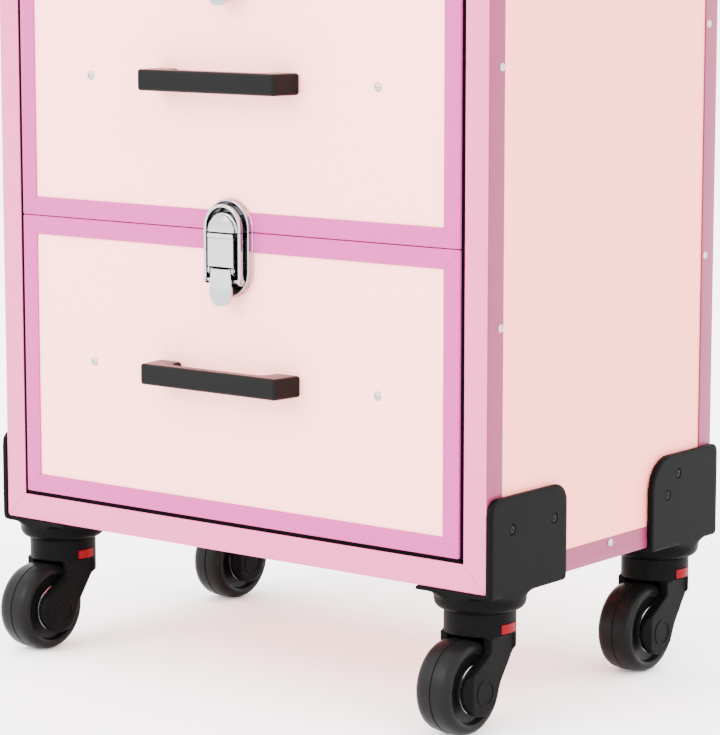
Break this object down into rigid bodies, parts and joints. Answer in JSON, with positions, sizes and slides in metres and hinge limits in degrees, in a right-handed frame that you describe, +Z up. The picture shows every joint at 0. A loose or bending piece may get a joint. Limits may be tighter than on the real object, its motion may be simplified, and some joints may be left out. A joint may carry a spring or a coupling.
{
  "type": "spa trolley cart",
  "caption": "Wheeled spa case with latched drawers, a lidded tray on top, a telescopic handle behind and swivel casters.",
  "frame": {"origin": "on the floor, under the middle of the overall box", "axes": "+Z up, +Y towards the back, +X to the right as seen from the front"},
  "size_m": [0.3674, 0.271, 0.6092],
  "materials": {
    "pink_laminate": "pale pink laminate over board, satin",
    "pink_frame": "light pink anodised aluminium, satin",
    "pink_trim": "orchid pink anodised aluminium, satin",
    "black_plastic": "black moulded plastic, fine texture",
    "black_coated": "black powder coat, matt",
    "tyre_rubber": "black wheel, satin",
    "chrome": "polished chrome plate",
    "zinc_steel": "bright zinc plate",
    "box_board": "painted board, satin",
    "handle_tube": "satin anodised aluminium"
  },
  "bodies": {
    "case": {"apron_latch_plates": "chrome", "apron_panel": "pink_laminate", "apron_trim": "pink_trim", "bottom_panel": "box_board", "bracket_screws": "black_plastic", "case_hinge_leaves": "zinc_steel", "case_runners": "zinc_steel", "frame_rivets": "zinc_steel", "front_frame": "pink_frame", "front_left_bracket": "black_plastic", "front_right_bracket": "black_plastic", "handle_clamps": "black_plastic", "handle_guide_tubes": "handle_tube", "left_side_panel": "pink_laminate", "rear_frame": "pink_trim", "rear_left_bracket": "black_plastic", "rear_panel": "pink_laminate", "rear_right_bracket": "black_plastic", "right_side_panel": "pink_laminate", "side_rails": "pink_trim", "tray_floor": "box_board"},
    "drawer_1": {"drawer_1_front": "pink_laminate", "drawer_1_trim": "pink_trim", "drawer_1_box": "box_board", "drawer_1_runners": "zinc_steel", "drawer_1_pull": "black_coated", "drawer_1_screws": "zinc_steel", "drawer_1_latch_base": "chrome"},
    "drawer_2": {"drawer_2_front": "pink_laminate", "drawer_2_trim": "pink_trim", "drawer_2_box": "box_board", "drawer_2_runners": "zinc_steel", "drawer_2_pull": "black_coated", "drawer_2_screws": "zinc_steel", "drawer_2_latch_plates": "chrome"},
    "latch_1_lever": {"latch_1_lever": "chrome"},
    "latch_1_loop": {"latch_1_loop": "chrome"},
    "latch_2_lever": {"latch_2_lever": "chrome"},
    "latch_2_loop": {"latch_2_loop": "chrome"},
    "latch_3_lever": {"latch_3_lever": "chrome"},
    "latch_3_loop": {"latch_3_loop": "chrome"},
    "front_left_fork": {"front_left_caster_fork": "black_plastic"},
    "front_left_wheel": {"front_left_caster_wheel": "tyre_rubber"},
    "front_right_fork": {"front_right_caster_fork": "black_plastic"},
    "front_right_wheel": {"front_right_caster_wheel": "tyre_rubber"},
    "rear_left_fork": {"rear_left_caster_fork": "black_plastic"},
    "rear_left_wheel": {"rear_left_caster_wheel": "tyre_rubber"},
    "rear_right_fork": {"rear_right_caster_fork": "black_plastic"},
    "rear_right_wheel": {"rear_right_caster_wheel": "tyre_rubber"},
    "lid": {"lid_shell": "pink_laminate", "lid_trim": "pink_trim", "lid_strike": "chrome", "lid_hinge_leaves": "zinc_steel"},
    "pull_handle": {"pull_handle": "black_plastic"},
    "pull_button": {"pull_button": "black_plastic"}
  },
  "joints": [
    {"name": "drawer_1_slide", "type": "slide", "parent": "case", "child": "drawer_1", "axis": [0, -1, 0], "range_m": [0, 0.15]},
    {"name": "drawer_2_slide", "type": "slide", "parent": "case", "child": "drawer_2", "axis": [0, -1, 0], "range_m": [0, 0.15]},
    {"name": "latch_1_lever_turn", "type": "hinge", "parent": "drawer_1", "child": "latch_1_lever", "pos_m": [0.0015, -0.123, 0.2445], "axis": [-1, 0, 0], "range_deg": [0, 90]},
    {"name": "latch_1_loop_turn", "type": "hinge", "parent": "latch_1_lever", "child": "latch_1_loop", "pos_m": [0.0015, -0.1214, 0.2386], "axis": [1, 0, 0], "range_deg": [0, 135]},
    {"name": "latch_2_lever_turn", "type": "hinge", "parent": "drawer_2", "child": "latch_2_lever", "pos_m": [0.0015, -0.123, 0.4131], "axis": [-1, 0, 0], "range_deg": [0, 90]},
    {"name": "latch_2_loop_turn", "type": "hinge", "parent": "latch_2_lever", "child": "latch_2_loop", "pos_m": [0.0015, -0.1214, 0.4072], "axis": [1, 0, 0], "range_deg": [0, 135]},
    {"name": "latch_3_lever_turn", "type": "hinge", "parent": "case", "child": "latch_3_lever", "pos_m": [0.0015, -0.123, 0.5439], "axis": [-1, 0, 0], "range_deg": [0, 90]},
    {"name": "latch_3_loop_turn", "type": "hinge", "parent": "latch_3_lever", "child": "latch_3_loop", "pos_m": [0.0015, -0.1214, 0.538], "axis": [1, 0, 0], "range_deg": [0, 135]},
    {"name": "front_left_swivel", "type": "hinge", "parent": "case", "child": "front_left_fork", "pos_m": [-0.158, -0.0895, 0.067], "axis": [0, 0, 1], "continuous": true},
    {"name": "front_left_roll", "type": "hinge", "parent": "front_left_fork", "child": "front_left_wheel", "pos_m": [-0.158, -0.1095, 0.026], "axis": [1, 0, 0], "continuous": true},
    {"name": "front_right_swivel", "type": "hinge", "parent": "case", "child": "front_right_fork", "pos_m": [0.158, -0.0895, 0.067], "axis": [0, 0, 1], "continuous": true},
    {"name": "front_right_roll", "type": "hinge", "parent": "front_right_fork", "child": "front_right_wheel", "pos_m": [0.158, -0.1095, 0.026], "axis": [1, 0, 0], "continuous": true},
    {"name": "rear_left_swivel", "type": "hinge", "parent": "case", "child": "rear_left_fork", "pos_m": [-0.158, 0.0885, 0.067], "axis": [0, 0, 1], "continuous": true},
    {"name": "rear_left_roll", "type": "hinge", "parent": "rear_left_fork", "child": "rear_left_wheel", "pos_m": [-0.158, 0.0685, 0.026], "axis": [1, 0, 0], "continuous": true},
    {"name": "rear_right_swivel", "type": "hinge", "parent": "case", "child": "rear_right_fork", "pos_m": [0.158, 0.0885, 0.067], "axis": [0, 0, 1], "continuous": true},
    {"name": "rear_right_roll", "type": "hinge", "parent": "rear_right_fork", "child": "rear_right_wheel", "pos_m": [0.158, 0.0685, 0.026], "axis": [1, 0, 0], "continuous": true},
    {"name": "lid_hinge", "type": "hinge", "parent": "case", "child": "lid", "pos_m": [0, 0.10025, 0.6062], "axis": [-1, 0, 0], "range_deg": [0, 92]},
    {"name": "pull_handle_slide", "type": "slide", "parent": "case", "child": "pull_handle", "axis": [0, 0, 1], "range_m": [0, 0.33]},
    {"name": "pull_button_press", "type": "slide", "parent": "pull_handle", "child": "pull_button", "axis": [0, 0, -1], "range_m": [0, 0.002], "stiffness_N_per_m": 400}
  ],
  "couplings": [
    {"joint": "latch_1_loop_turn", "follows": "latch_1_lever_turn", "ratio": 1.5},
    {"joint": "latch_2_loop_turn", "follows": "latch_2_lever_turn", "ratio": 1.5},
    {"joint": "latch_3_loop_turn", "follows": "latch_3_lever_turn", "ratio": 1.5}
  ]
}
